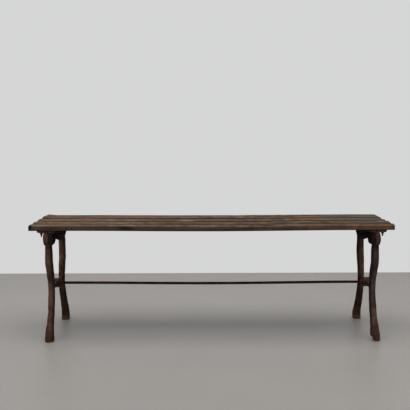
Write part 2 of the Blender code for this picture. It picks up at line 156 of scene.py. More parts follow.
class Finish:
    """A procedural material under way, whose patterns lie in the bench's own coordinates."""

    def __init__(self, name, roughness=0.8, specular=0.15):
        self.material = bpy.data.materials.new(name)
        self.material.use_nodes = True
        self.tree = self.material.node_tree
        self.shader = self.tree.nodes["Principled BSDF"]
        self.shader.inputs["Roughness"].default_value = roughness
        self.shader.inputs["Specular IOR Level"].default_value = specular
        self.place = self.node("ShaderNodeTexCoord").outputs["Object"]

    def put(self, socket, value):
        """Gives a socket a plain value, or links another node's output to it."""
        if isinstance(value, bpy.types.NodeSocket):
            self.tree.links.new(value, socket)
        elif socket.type == "RGBA":
            socket.default_value = (*value, 1.0)
        else:
            socket.default_value = value

    def node(self, kind, inputs=None, **options):
        made = self.tree.nodes.new(kind)
        for option, value in options.items():
            setattr(made, option, value)
        for socket, value in (inputs or {}).items():
            self.put(made.inputs[socket], value)
        return made

    def mottle(self, size, stretch=(1, 1, 1), detail=4.0, roughness=0.6):
        """Cloudy pattern with spots of about this size, drawn out along each axis by stretch."""
        scale = [1 / (size * factor) for factor in stretch]
        place = self.node("ShaderNodeMapping", {"Vector": self.place, "Scale": scale}).outputs["Vector"]
        inputs = {"Vector": place, "Scale": 1.0, "Detail": detail, "Roughness": roughness}
        return self.node("ShaderNodeTexNoise", inputs).outputs["Fac"]

    def painted(self, layer):
        """Value that was painted on the mesh under this name."""
        return self.node("ShaderNodeAttribute", attribute_name=layer).outputs["Fac"]

    def math(self, operation, first, second):
        return self.node("ShaderNodeMath", {0: first, 1: second}, operation=operation).outputs[0]

    def span(self, value, low, high, start=0.0, end=1.0):
        """Value from start to end, as another one goes from low to high."""
        inputs = {"Value": value, "From Min": low, "From Max": high, "To Min": start, "To Max": end}
        return self.node("ShaderNodeMapRange", inputs).outputs["Result"]

    def tones(self, value, *stops):
        """Colour that runs through (position, colour) stops."""
        ramp = self.node("ShaderNodeValToRGB", {"Fac": value})
        elements = ramp.color_ramp.elements
        for element, (position, colour) in zip(elements, (stops[0], stops[-1])):
            element.position = position
            element.color = (*colour, 1.0)
        for position, colour in stops[1:-1]:
            elements.new(position).color = (*colour, 1.0)
        return ramp.outputs["Color"]

    def blend(self, share, first, second, how="MIX"):
        """Second colour over the first by a share."""
        made = self.node("ShaderNodeMix", {0: share, 6: first, 7: second}, data_type="RGBA", blend_type=how)
        return made.outputs[2]

    def relief(self, height, depth):
        """Fine relief of this depth on top of the mesh's own."""
        bump = self.node("ShaderNodeBump", {"Height": height, "Distance": depth})
        self.put(self.shader.inputs["Normal"], bump.outputs["Normal"])

    def surface(self, colour, roughness):
        self.put(self.shader.inputs["Base Color"], colour)
        self.put(self.shader.inputs["Roughness"], roughness)
        return self.material


def rusted_metal(name, coat, rust, bloom, patch, rust_from, bloom_from):
    """Metal under an old dark coat: patches of rust come through, with brighter bloom in places."""
    finish = Finish(name, specular=METAL_SHEEN)
    patches = finish.mottle(patch, detail=6.0, roughness=0.65)
    grit = finish.mottle(patch / GRIT_PER_PATCH, detail=3.0)
    ragged = finish.math("ADD", patches, finish.span(grit, 0.3, 0.7, -GRIT_SWING, GRIT_SWING))
    rusted = finish.span(ragged, rust_from, rust_from + RUST_EDGE)
    blooms = finish.mottle(patch / BLOOMS_PER_PATCH, detail=5.0)
    blooming = finish.span(blooms, bloom_from, bloom_from + BLOOM_EDGE, end=BLOOM_SHARE)
    colour = finish.blend(rusted, coat, rust)
    colour = finish.blend(blooming, colour, bloom)
    speckle = finish.tones(grit, (0.3, GRIT_DULL), (0.72, GRIT_BRIGHT))
    colour = finish.blend(1.0, colour, speckle, how="MULTIPLY")
    finish.relief(finish.math("ADD", grit, finish.math("MULTIPLY", rusted, 0.5)), GRIT_RELIEF)
    return finish, colour, rusted


def casting_look():
    """Brown to plum coat with red rust coming through, most of all low down, and painted shade under the
    seat.
    """
    finish, colour, rusted = rusted_metal(
        "rusted_casting", COAT_BROWN, RUST_RED, RUST_ORANGE, patch=0.045, rust_from=0.46, bloom_from=0.64
    )
    place = finish.node("ShaderNodeSeparateXYZ", {0: finish.place})
    across, height = place.outputs["X"], place.outputs["Z"]
    plum = finish.span(across, *PLUM_X, end=PLUM_SHARE)
    plum = finish.math("MULTIPLY", plum, finish.span(height, *PLUM_Z))
    plum = finish.math("MULTIPLY", plum, finish.span(place.outputs["Y"], *PLUM_Y))
    colour = finish.blend(plum, colour, COAT_PLUM)
    damp_spots = finish.span(finish.mottle(DAMP_SPOT), 0.4, 0.62, end=0.55)
    damp_and_face_shade = finish.math("MULTIPLY", finish.span(height, *DAMP_Z), damp_spots)
    colour = finish.blend(damp_and_face_shade, colour, RUST_RED)
    edges = finish.node("ShaderNodeNewGeometry").outputs["Pointiness"]
    colour = finish.blend(finish.span(edges, *SHARP_RIDGE, end=0.5), colour, RUST_RED)
    # painted shade: crevices darkened towards near-black
    colour = finish.blend(finish.span(edges, *SHARP_CREVICE, end=0.8), colour, CREVICE_SHADE)
    patina_spots = finish.mottle(PATINA_SPOT, (1, 1, 1.8))
    patina = finish.tones(patina_spots, (0.36, PATINA_DULL), (0.62, PATINA_BRIGHT))
    colour = finish.blend(1.0, colour, patina, how="MULTIPLY")
    # painted shade: faces turned inward, the rear legs low down and the front toes darkened towards a
    # near-black coat
    shade_spots = finish.span(finish.mottle(SHADE_SPOT), 0.3, 0.6, 0.5, 0.9)
    dry = finish.math("MULTIPLY", finish.painted("dry"), shade_spots)
    colour = finish.blend(dry, colour, SHADED_COAT)
    # painted light: the left rear leg's thigh and the feet of both rear legs made lighter
    colour = finish.blend(finish.painted("lit_patches"), colour, LIT_PATCH_LIFT, how="MULTIPLY")
    splashes = finish.span(finish.mottle(SPLASH_SPOT), 0.42, 0.6, end=0.5)
    splashed = finish.math("MULTIPLY", finish.span(height, *SPLASH_Z), splashes)
    colour = finish.blend(splashed, colour, RUST_ORANGE)
    # painted shade: near-black under the seat rail behind the knob; the same mask also makes it fully rough
    seat_shaded = finish.painted("seat_shade")
    colour = finish.blend(finish.math("MULTIPLY", seat_shaded, SEAT_SHADE_SHARE), colour, SEAT_SHADE_BLACK)
    roughness = finish.math("MAXIMUM", finish.span(rusted, 0.0, 1.0, 0.8, 0.95), seat_shaded)
    return finish.surface(colour, roughness)


def merged_copy(node):
    """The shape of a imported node, with its loose triangles joined."""
    shape = bmesh.new()
    shape.from_mesh(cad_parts[node].data)
    bmesh.ops.remove_doubles(shape, verts=shape.verts, dist=MERGE_DISTANCE)
    return shape


def linked(name, shape):
    """Object of a bmesh, in the scene."""
    data = bpy.data.meshes.new(name)
    shape.to_mesh(data)
    made = bpy.data.objects.new(name, data)
    bpy.context.scene.collection.objects.link(made)
    return made


def discard(*helpers):
    for helper in helpers:
        data = helper.data
        bpy.data.objects.remove(helper)
        bpy.data.meshes.remove(data)


def reshape(shape, kind, **settings):
    """Puts a bmesh through one modifier."""
    blank = linked("blank", shape)
    step = blank.modifiers.new("step", kind)
    for setting, value in settings.items():
        setattr(step, setting, value)
    result = blank.evaluated_get(bpy.context.evaluated_depsgraph_get()).to_mesh()
    shape.clear()
    shape.from_mesh(result)
    discard(blank)


def ripple(place, size, stretch=(1, 1, 1)):
    """Smooth noise from about -1 to 1, with waves of this size drawn out along each axis by stretch."""
    return noise.noise(Vector([value / (size * factor) for value, factor in zip(place, stretch)]))


def ease(value, low, high):
    """Smooth step from 0 at low to 1 at high."""
    share = min(1.0, max(0.0, (value - low) / (high - low)))
    return share * share * (3 - 2 * share)


def hand_over(name, shape, look, node):
    """Makes a finished piece of a bmesh, in its finish and riding on the bench in place of its node."""
    shape.normal_update()
    piece = linked(name, shape)
    shape.free()
    piece.data.shade_smooth()
    piece.data.set_sharp_from_angle(angle=SHARP_ANGLE)
    piece.data.materials.append(look)
    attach(piece, BODY)
    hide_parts(node)
    return piece


def casting_relief(place):
    """How far the rough casting stands out from its plain form: bark-like ridges, lumps, sand and pits."""
    along_rail = ease(place.z, *RAIL_GRAIN_Z)
    drawn_out = BARK_LENGTH / BARK_WIDTH
    upright = ripple(place, BARK_WIDTH, (1, 1, drawn_out)) * (1 - along_rail)
    level = ripple(place, BARK_WIDTH, (1, drawn_out, 1)) * along_rail
    relief = (upright + level) * BARK_HEIGHT
    relief += ripple(place, LUMP_SIZE) * LUMP_HEIGHT
    relief += ripple(place, SAND_SIZE) * SAND_HEIGHT
    pit = ripple(place + PITS_APART, PIT_SIZE) - PIT_SHARE
    return relief - max(0.0, pit) * PIT_DEPTH / (1 - PIT_SHARE)


IRON = casting_look()
for side in ("left", "right"):
    casting_node = f"end_frame_{side}"
    sole, crown = (corner.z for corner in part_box(casting_node))
    casting = merged_copy(casting_node)
    reshape(casting, "REMESH", mode="VOXEL", voxel_size=CASTING_MESH)
    for turn in range(CASTING_SMOOTHING):
        bmesh.ops.smooth_vert(
            casting, verts=casting.verts, factor=0.5, use_axis_x=True, use_axis_y=True, use_axis_z=True
        )
    casting.normal_update()
    seat_shaded = casting.verts.layers.float.new("seat_shade")
    dry = casting.verts.layers.float.new("dry")
    lit_patches = casting.verts.layers.float.new("lit_patches")
    for vert in casting.verts:
        x, y, z = vert.co
        under_seat = ease(z, *UNDER_SEAT_Z)
        # painted shade under the seat rail, behind the knob
        vert[seat_shaded] = under_seat * ease(y, *SEAT_SHADE_Y)
        # painted shade on faces turned inward, on the rear legs low down and on the front toes
        inward = -math.copysign(vert.normal.x, vert.normal.x * x)
        on_rear_leg = ease(y, *REAR_LEG_Y)
        rear_shade = REAR_SHADE * on_rear_leg * ease(z, *REAR_SHADE_Z)
        shaded_toe = TOE_SHADE * ease(y, *TOE_Y) * ease(z, *TOE_Z)
        vert[dry] = max(ease(inward, *INWARD), rear_shade, shaded_toe)
        # painted light on the left rear leg's thigh and on the feet of both rear legs
        thigh = ease(z, *THIGH_FOOT_Z) * ease(z, *THIGH_TOP_Z) if side == "left" else 0.0
        vert[lit_patches] = on_rear_leg * max(thigh, ease(z, *HEEL_Z))
        scale = SCALE_HEIGHT * ease(abs(z - WAIST), *OFF_WAIST) * (1 - under_seat)
        scale *= LEG_SCALE + (1 - LEG_SCALE) * ease(z, *FLAKING_Z)
        shift = 0.0
        for place, reach, most, faces in UNEVEN[side]:
            share = max(0.0, faces * vert.normal.x) if faces else 1.0
            shift += most * share * ease((vert.co - Vector(place)).length, reach, 0.0)
        vert.co += vert.normal * (casting_relief(vert.co) + scale)
        vert.co.x += shift
        vert.co.z = min(crown, max(sole, vert.co.z))
    hand_over(f"casting_{side}", casting, IRON, casting_node)


# Tie rod
# One round bar of mild steel runs from boss to boss and keeps the two castings from spreading. It has
# sagged a little, is pitted all along, and has a screw thread cut on both ends for the nuts.
ROD_SIDES = 20
ROD_STATIONS = 420
ROD_THREAD_LENGTH = 0.060
ROD_THREAD_SIDES = 16
ROD_PITCH = 0.00125
ROD_SCALE = 0.0005
ROD_SCALE_RAMP = 0.01
ROD_PIT = 0.0002
ROD_PIT_SIZE = 0.006
ROD_WAVE_SIZE = 0.03
BARE_END = 0.001
# a thread's tooth: how far it lies in the bar, and its parts as shares of the pitch
THREAD_SINK = 0.0003
THREAD_ROOT = 0.2
THREAD_CREST = 0.3
THREAD_TOOTH = 0.8
ROD_COAT = (0.030, 0.014, 0.010)
ROD_RUST = (0.075, 0.029, 0.018)


def bar_look():
    finish, colour, rusted = rusted_metal(
        "rusted_bar", ROD_COAT, ROD_RUST, RUST_ORANGE, patch=0.030, rust_from=0.45, bloom_from=0.68
    )
    return finish.surface(colour, finish.span(rusted, 0.0, 1.0, 0.75, 0.95))


def wind_thread(shape, place, length, radius, pitch, sides):
    """Winds a screw thread round a bar along the Z axis of place."""
    turns = length / pitch
    steps = math.ceil(turns * sides)
    tooth = bmesh.ops.create_circle(shape, segments=3, radius=1.0, cap_ends=True)["verts"]
    lower, crest, upper = tooth
    lower.co = Vector((radius - pitch * THREAD_ROOT, 0, 0))
    crest.co = Vector((radius + pitch * THREAD_CREST, 0, pitch * THREAD_TOOTH / 2))
    upper.co = Vector((radius - pitch * THREAD_ROOT, 0, pitch * THREAD_TOOTH))
    faces = {face for vert in tooth for face in vert.link_faces}
    edges = {edge for vert in tooth for edge in vert.link_edges}
    known = set(shape.verts) - set(tooth)
    bmesh.ops.spin(
        shape,
        geom=[*tooth, *edges, *faces],
        cent=(0, 0, 0),
        axis=(0, 0, 1),
        dvec=(0, 0, length / steps),
        angle=math.tau * turns,
        steps=steps,
    )
    bmesh.ops.transform(shape, matrix=place, verts=[vert for vert in shape.verts if vert not in known])


def lengthened(bar, stations):
    """Draws the faces of a bmesh out along Z, from 0 to 1, with this many stations."""
    drawn = bmesh.ops.extrude_face_region(bar, geom=bar.faces[:])["geom"]
    far = [part for part in drawn if isinstance(part, bmesh.types.BMVert)]
    bmesh.ops.translate(bar, verts=far, vec=(0, 0, 1))
    long_edges = [edge for edge in bar.edges if edge.verts[0].co.z != edge.verts[1].co.z]
    bmesh.ops.subdivide_edges(bar, edges=long_edges, cuts=stations - 1, use_grid_fill=True)
    bmesh.ops.recalc_face_normals(bar, faces=bar.faces)
    return bar


def sag_at(x, half_span, sag):
    """Drop of a bar between its supports, none at them and most in the middle."""
    if abs(x) >= half_span:
        return 0.0
    return sag * math.cos(math.pi * x / (2 * half_span)) ** 2


STEEL = bar_look()
rod_low, rod_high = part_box("tie_rod")
rod_radius = (rod_high.y - rod_low.y) / 2
rod_sag = rod_high.z - rod_low.z - 2 * rod_radius
rod_middle = Vector((0, (rod_low.y + rod_high.y) / 2, rod_high.z - rod_radius))
rod_span = -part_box("tie_rod_nut_left_inner")[1].x
rod = bmesh.new()
bmesh.ops.create_circle(rod, segments=ROD_SIDES, radius=rod_radius, cap_ends=True)
lengthened(rod, ROD_STATIONS)
for vert in rod.verts:
    x = rod_low.x + (rod_high.x - rod_low.x) * vert.co.z
    at_end = min(x - rod_low.x, rod_high.x - x)
    place = rod_middle + Vector((x, vert.co.x, vert.co.y - sag_at(x, rod_span, rod_sag)))
    outward = Vector((0, vert.co.x, vert.co.y)) / rod_radius
    wear = -abs(ripple(place, ROD_PIT_SIZE)) - abs(ripple(place, ROD_WAVE_SIZE, (3, 1, 1)))
    swollen = ease(at_end, ROD_THREAD_LENGTH, ROD_THREAD_LENGTH + ROD_SCALE_RAMP)
    vert.co = place + outward * (ROD_SCALE + wear * ROD_PIT) * swollen
along_x = Matrix.Translation((0, rod_middle.y, rod_middle.z)) @ Matrix.Rotation(math.pi / 2, 4, "Y")
for start in (rod_low.x + BARE_END, rod_high.x - BARE_END - ROD_THREAD_LENGTH):
    thread_place = Matrix.Translation((start, 0, 0)) @ along_x
    wind_thread(
        rod, thread_place, ROD_THREAD_LENGTH - BARE_END, rod_radius - THREAD_SINK, ROD_PITCH, ROD_THREAD_SIDES
    )
hand_over("tie_bar", rod, STEEL, "tie_rod")


# Rod washers and hexagon nuts
# A washer and a chamfered hexagon nut clamp the rod on both faces of each boss. All are plain steel, rusted
# as brown as the rod, with their edges rounded off by age.
RING_STEPS = 36
SEAM_DISTANCE = 1e-6
NUT_CHAMFER = 0.0012
NUT_FACE_SHARE = 0.96
NUT_CLEARANCE = 0.0003
FASTENER_PIT = 0.0001
FASTENER_PIT_SIZE = 0.003
FASTENER_COAT = (0.050, 0.028, 0.021)
FASTENER_RUST = (0.13, 0.052, 0.028)


def fastener_look():
    coat, rust = FASTENER_COAT, FASTENER_RUST
    finish, colour, rusted = rusted_metal(
        "rusted_fastener", coat, rust, RUST_ORANGE, patch=0.010, rust_from=0.44, bloom_from=0.6
    )
    return finish.surface(colour, finish.span(rusted, 0.0, 1.0, 0.48, 0.8))


def turned(profile, closed=True):
    """Body turned round the Z axis from (radius, height) points."""
    shape = bmesh.new()
    points = [shape.verts.new((radius, 0, height)) for radius, height in profile]
    pairs = list(zip(points, points[1:]))
    if closed:
        pairs.append((points[-1], points[0]))
    edges = [shape.edges.new(pair) for pair in pairs]
    bmesh.ops.spin(
        shape,
        geom=points + edges,
        cent=(0, 0, 0),
        axis=(0, 0, 1),
        angle=math.tau,
        steps=RING_STEPS,
        use_merge=True,
    )
    bmesh.ops.remove_doubles(shape, verts=shape.verts, dist=SEAM_DISTANCE)
    bmesh.ops.recalc_face_normals(shape, faces=shape.faces)
    return shape


def washer(radius, hole, height):
    """Flat ring with its outer edges worn round."""
    worn = height / 3
    return turned(
        [
            (hole, 0),
            (radius - worn, 0),
            (radius, worn),
            (radius, height - worn),
            (radius - worn, height),
            (hole, height),
        ]
    )


def nut(flats, half_width, hole, height):
    """Nut of 4 or 6 flats, with a flat facing along X and the corners chamfered at top and foot."""
    round_face = half_width * NUT_FACE_SHARE
    shape = turned(
        [
            (hole, 0),
            (round_face, 0),
            (half_width, NUT_CHAMFER),
            (half_width, height / 2),
            (half_width, height - NUT_CHAMFER),
            (round_face, height),
            (hole, height),
        ]
    )
    wedge = math.tau / flats
    for vert in shape.verts:
        if vert.co.xy.length > (round_face + half_width) / 2:
            turn = math.atan2(vert.co.y, vert.co.x)
            reach = 1 / math.cos((turn + wedge / 2) % wedge - wedge / 2)
            vert.co.xy *= reach
    return shape


def put_in_place(shape, place):
    """Moves a small turned piece to its place and roughens it."""
    bmesh.ops.transform(shape, matrix=place, verts=shape.verts)
    shape.normal_update()
    for vert in shape.verts:
        vert.co -= vert.normal * abs(ripple(vert.co, FASTENER_PIT_SIZE)) * FASTENER_PIT
    return shape


RUSTY = fastener_look()
for side in ("left", "right"):
    for face in ("inner", "outer"):
        for kind in ("washer", "nut"):
            rod_node = f"tie_rod_{kind}_{side}_{face}"
            low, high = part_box(rod_node)
            half_width = min(high.y - low.y, high.z - low.z) / 2
            sizes = (half_width, rod_radius + NUT_CLEARANCE, high.x - low.x)
            ring = washer(*sizes) if kind == "washer" else nut(6, *sizes)
            put_in_place(ring, Matrix.Translation((low.x, 0, 0)) @ along_x)
            hand_over(f"rod_{kind}_{side}_{face}", ring, RUSTY, rod_node)


# Seat slats
# Four sawn boards of hardwood lie across the castings, a narrow one in front and a wider one at the back.
# Years outdoors have raised their grain, opened checks, rounded their edges and ends, and bleached and
# stained them. They are bolted down through countersunk holes near their ends.
SLATS = range(1, 5)
FRONT_SLAT, REAR_SLAT = SLATS[0], SLATS[-1]
SEAT_CLEARANCE = 0.0003
SLAT_STATIONS = 330
SLAT_CELL = 0.00125
SLAT_ROWS = 16
END_CROWDING = 0.8
EDGE_CROWDING = 0.4
TOP_WEAR = 0.0045
FOOT_WEAR = 0.0022
WEAR_SWING = 0.4
WEAR_WAVE = 0.09
CROWN = 0.0030
END_WEAR = 0.0022
WORN_END_REACH = 4
END_CURL = 0.0025
CURL_FROM_END = (0.055, 0.012)
REAR_SAG_SHARE = 0.65
GRAIN_HEIGHT = 0.00035
GRAIN_SINK = 0.6
GRAIN_WIDTH = 0.0042
GRAIN_LENGTH = 0.22
GRAIN_APART = 3.7
FINE_GRAIN_SHARE = 0.5
FINE_GRAIN_WIDTH = 0.0021
FINE_GRAIN_STRETCH = 60
HOLLOW_DEPTH = 0.0006
HOLLOW_SIZE = 0.035
CHECKS_PER_SLAT = 9
CHECKS_PER_END = 2
CHECK_SEED = 40
CHECK_LENGTHS = (0.05, 0.28)
CHECK_MARGIN = 0.12
CHECK_WIDTH = 0.0019
CHECK_DEPTH = 0.0030
CHECK_DEPTH_SHARES = (0.4, 1.0)
CHECK_TAPER = 4
CHECK_WANDER = 0.0025
CHECK_WAVE = 0.05
CHECK_DARKNESS = 2.2
CHIP_DEPTH = 0.0022
CHIP_SIZE = 0.022
CHIP_NOISE = (0.35, 0.7)
CHIP_ACROSS = (0.86, 0.97)
CHIP_RISE = (0.012, 0.018)
FACING_UP = (0.3, 0.8)
FACING_DOWN = (0.5, 0.9)
# widths of the dark bands along slat edges that face a gap: dirt and painted shade
REAR_GAP_DIRT_AND_SHADE = 0.018
FRONT_GAP_DIRT_AND_SHADE = 0.008
# painted shade low on the slats' sides and on their undersides, and how much chips are darkened
SIDE_SHADE_HEIGHT = 0.012
SIDE_SHADE = 0.5
UNDERSIDE_SHADE = 0.6
CHIP_DARKENING = 0.4
STAIN_STRENGTH = 1.2
BOLT_RADIUS = 0.003
HEAD_RIM = 0.001
HOLE_CLEARANCE = 0.0004
CUTTER_RISE = 0.02
# which end of a slat is worn (-1 left, 1 right), how far, and from where to where across (-1 front, 1 rear)
WORN_ENDS = {
    1: ((1, 0.0045, -0.6, 1.0), (-1, -0.0035, -1.6, -1.1)),
    2: ((1, 0.011, 0.30, 0.36), (-1, -0.002, -1.6, -1.1)),
    3: ((1, 0.009, -0.65, -0.45), (1, -0.008, -0.3, 1.0), (-1, -0.002, -1.6, -1.1)),
    4: ((1, 0.005, -0.9, -0.3), (1, 0.003, 0.5, 1.1), (-1, 0.007, -0.6, 0.6)),
}
TIMBER_DARK = (0.032, 0.021, 0.013)
TIMBER_UMBER = (0.064, 0.0415, 0.026)
TIMBER_BROWN = (0.113, 0.0745, 0.047)
TIMBER_GREY = (0.172, 0.125, 0.089)
TIMBER_RED = (0.150, 0.077, 0.046)
TIMBER_ORANGE = (0.20, 0.085, 0.042)
TIMBER_ASH = (0.091, 0.077, 0.064)
# pale scuffs, and painted light on the front slat's face near its right end
TIMBER_SCUFF_AND_LIGHT = (0.25, 0.21, 0.18)
# near-black of dirt, of painted shade and of the checks
GRIME_AND_SHADE = (0.012, 0.009, 0.007)
# painted shade on the front slat's front face
FACE_SHADE_TIMBER = (0.076, 0.051, 0.034)
BAND_WIDTH, BAND_SHARE = 0.019, 0.5
STREAK_WIDTH, STREAK_SHARE = 0.0032, 0.35
FIBRE_WIDTH, FIBRE_SHARE = 0.0009, 0.15
CLOUD_SIZE, CLOUD_SWING = 0.034, 0.09
BLOTCH_SIZE, BLOTCH_SWING = 0.032, 0.08
SLAT_HALF_LENGTH, LENGTH_SWING = 0.7, 0.045
RAGGED_SIZE, RAGGED_SWING = 0.011, 0.45
GRAINY_SWING = 0.25
TIMBER_RELIEF = 0.0010
TIMBER_SHEEN = 0.06
# the colour of each kind of stain, painted shade and painted light, and its share where it is full, in the
# order in which they lie on the wood
STAIN_COLOURS = {
    "shade": (TIMBER_UMBER, 0.6),
    "ash": (TIMBER_ASH, 0.65),
    "red": (TIMBER_RED, 0.55),
    "orange": (TIMBER_ORANGE, 0.55),
    "scuff_and_lit_patch": (TIMBER_SCUFF_AND_LIGHT, 0.5),
    "damp_and_face_shade": (FACE_SHADE_TIMBER, 0.85),
    "grime_and_shade": (GRIME_AND_SHADE, 0.92),
    "check": (GRIME_AND_SHADE, 0.96),
}
# kinds whose edges follow the grain alone
GRAIN_EDGED = ("damp_and_face_shade", "grime_and_shade", "check")
# kind, slat, middle and half length along X, middle and half width across (-1 front edge, 1 rear edge)
STAINS = (
    ("shade", 4, -0.48, 0.32, 0.0, 1.4),
    ("shade", 3, -0.19, 0.19, 0.0, 1.3),
    ("shade", 2, 0.03, 0.25, 0.0, 1.2),
    ("shade", 1, 0.56, 0.26, 0.1, 1.0),
    ("ash", 4, 0.58, 0.30, 0.0, 1.5),
    ("ash", 3, 0.58, 0.22, 0.0, 1.5),
    ("ash", 2, 0.62, 0.16, 0.0, 1.3),
    ("ash", 3, -0.02, 0.16, -0.2, 0.9),
    ("red", 4, -0.62, 0.10, 0.1, 0.8),
    ("red", 4, -0.34, 0.22, 0.0, 1.2),
    ("red", 3, -0.55, 0.18, -0.3, 0.7),
    ("red", 2, -0.60, 0.12, 0.0, 1.0),
    ("red", 2, -0.15, 0.14, 0.4, 0.6),
    ("red", 1, -0.56, 0.08, 0.2, 1.2),
    ("red", 1, 0.37, 0.10, -0.4, 1.0),
    ("red", 1, 0.60, 0.24, -1.1, 0.5),
    ("orange", 3, 0.345, 0.075, 0.3, 1.0),
    ("orange", 4, 0.40, 0.06, -0.6, 0.5),
    ("orange", 1, 0.55, 0.018, -0.5, 0.9),
    ("orange", 1, 0.668, 0.012, -0.9, 0.5),
    ("scuff_and_lit_patch", 2, -0.110, 0.045, 0.75, 0.5),
    ("scuff_and_lit_patch", 3, -0.105, 0.045, -0.7, 0.5),
    ("scuff_and_lit_patch", 1, -0.545, 0.010, 0.3, 0.5),
    ("scuff_and_lit_patch", 2, 0.675, 0.020, 0.2, 0.6),
    # painted light: the front slat's front face made lighter near its right end
    ("scuff_and_lit_patch", 1, 0.53, 0.055, -1.30, 0.36),
    # the grime marks below are painted shade: on the front slat's front face and left end, and in the gap
    # behind slat 3
    ("grime_and_shade", 3, -0.163, 0.035, 1.0, 0.35),
    ("grime_and_shade", 1, -0.557, 0.004, -1.15, 0.25),
    ("grime_and_shade", 1, -0.705, 0.022, -1.0, 0.8),
    ("grime_and_shade", 1, -0.33, 0.06, -1.2, 0.30),
    ("grime_and_shade", 1, -0.62, 0.09, -1.28, 0.35),
    ("grime_and_shade", 1, 0.08, 0.30, -1.28, 0.35),
    # painted shade: the front slat's front face darkened, as the overhead light leaves it dim
    ("damp_and_face_shade", 1, -0.35, 0.95, -1.05, 0.22),
)


def timber_look():
    """Weathered board: long streaks of dark to bleached grain, and painted stains, shade and light broken up
    by the grain.
    """
    finish = Finish("weathered_timber", specular=TIMBER_SHEEN)
    bands = finish.mottle(BAND_WIDTH, (15, 1, 1), detail=6.0)
    streaks = finish.mottle(STREAK_WIDTH, (45, 1, 1), detail=4.0)
    fibres = finish.mottle(FIBRE_WIDTH, (40, 1, 1), detail=2.0)
    clouds = finish.mottle(CLOUD_SIZE, (4, 1, 1), detail=5.0)
    blotches = finish.mottle(BLOTCH_SIZE, (1.0, 1.7, 1))
    along = finish.node("ShaderNodeSeparateXYZ", {0: finish.place}).outputs["X"]
    tone = finish.math("MULTIPLY", bands, BAND_SHARE)
    for more in (
        finish.math("MULTIPLY", streaks, STREAK_SHARE),
        finish.math("MULTIPLY", fibres, FIBRE_SHARE),
        finish.span(clouds, 0.3, 0.7, -CLOUD_SWING, CLOUD_SWING),
        finish.span(blotches, 0.3, 0.7, -BLOTCH_SWING, BLOTCH_SWING),
        finish.span(along, -SLAT_HALF_LENGTH, SLAT_HALF_LENGTH, LENGTH_SWING, -LENGTH_SWING),
    ):
        tone = finish.math("ADD", tone, more)
    colour = finish.tones(
        tone, (0.36, TIMBER_DARK), (0.44, TIMBER_UMBER), (0.52, TIMBER_BROWN), (0.63, TIMBER_GREY)
    )
    grainy = finish.span(streaks, 0.35, 0.62, -GRAINY_SWING, GRAINY_SWING)
    rags = finish.mottle(RAGGED_SIZE, (3, 1, 1))
    ragged = finish.math("ADD", grainy, finish.span(rags, 0.3, 0.7, -RAGGED_SWING, RAGGED_SWING))
    for layer, (stain, full) in STAIN_COLOURS.items():
        share = finish.math("ADD", finish.painted(layer), grainy if layer in GRAIN_EDGED else ragged)
        share = finish.math("MULTIPLY", share, finish.span(finish.painted(layer), 0.0, 0.3))
        colour = finish.blend(finish.span(share, 0.2, 0.9, end=full), colour, stain)
    finish.relief(finish.math("ADD", streaks, finish.math("MULTIPLY", fibres, 0.6)), TIMBER_RELIEF)
    return finish.surface(colour, finish.span(tone, 0.35, 0.65, 0.86, 0.97))


def swept(across, up, stations):
    """Closed bar on a lattice: x and y from -1 to 1 on its end faces and z from 0 to 1 along it."""
    bar = bmesh.new()
    bmesh.ops.create_grid(bar, x_segments=across, y_segments=up, size=1.0)
    return lengthened(bar, stations)


def within(value, limit):
    """Value held between minus and plus this limit."""
    return max(-limit, min(limit, value))


def spread(share, crowding):
    """Moves lattice lines from -1 to 1 towards both ends."""
    return share + crowding * math.sin(math.pi * share) / math.pi


def checks_in(number, low, high):
    """Where the board has opened along the grain: (start, end, place across, depth), some from its ends."""
    chance = random.Random(CHECK_SEED + number)
    checks = []
    for count in range(CHECKS_PER_SLAT):
        reach = chance.uniform(*CHECK_LENGTHS)
        start = chance.uniform(low.x, high.x - reach)
        if count < CHECKS_PER_END:
            start = low.x - reach / 2
        elif count < 2 * CHECKS_PER_END:
            start = high.x - reach / 2
        margin = CHECK_MARGIN * (high.y - low.y)
        across = chance.uniform(low.y + margin, high.y - margin)
        checks.append((start, start + reach, across, CHECK_DEPTH * chance.uniform(*CHECK_DEPTH_SHARES)))
    return checks


def sawn_board(number, low, high, underside):
    """Board on a fine lattice: edges and ends worn, top crowned, and the rear board's left end curled up."""
    middle = (low + high) / 2
    thickness = high.z - underside
    half = Vector(((high.x - low.x) / 2, (high.y - low.y) / 2, thickness / 2))
    board = swept(round(2 * half.y / SLAT_CELL), SLAT_ROWS, SLAT_STATIONS)
    for vert in board.verts:
        along = spread(2 * vert.co.z - 1, END_CROWDING)
        aside, up = spread(vert.co.x, EDGE_CROWDING), spread(vert.co.y, EDGE_CROWDING)
        at = Vector((along * half.x, aside * half.y, up * half.z))
        wear = TOP_WEAR if at.z > 0 else FOOT_WEAR
        wear *= 1 + WEAR_SWING * ripple(Vector((at.x, number, math.copysign(1, at.y))), WEAR_WAVE)
        core = Vector((0, within(at.y, half.y - wear), within(at.z, half.z - wear)))
        out = Vector((0, at.y, at.z)) - core
        if out.length > wear:
            at.yz = (core + out.normalized() * wear).yz
        past = max(0.0, abs(at.x) - half.x + END_WEAR) / END_WEAR
        drawn_in = END_WEAR * (1 - math.sqrt(max(0.0, 1 - past * past)))
        at.y *= 1 - drawn_in / half.y
        at.z *= 1 - drawn_in / half.z
        across, toward_end = at.y / half.y, at.x
        rounded = min(0.0, across) if number == REAR_SLAT else across
        at.z -= CROWN * rounded**2 * (at.z / half.z + 1) / 2
        if number == REAR_SLAT:
            at.z += END_CURL * ease(-toward_end, *(half.x - reach for reach in CURL_FROM_END))
        for end, cut, grows_from, grows_to in WORN_ENDS[number]:
            near = ease(end * toward_end, half.x - WORN_END_REACH * abs(cut), half.x)
            at.x -= end * cut * ease(across, grows_from, grows_to) * near
        vert.co = Vector((middle.x, middle.y, underside + half.z)) + at
    return board


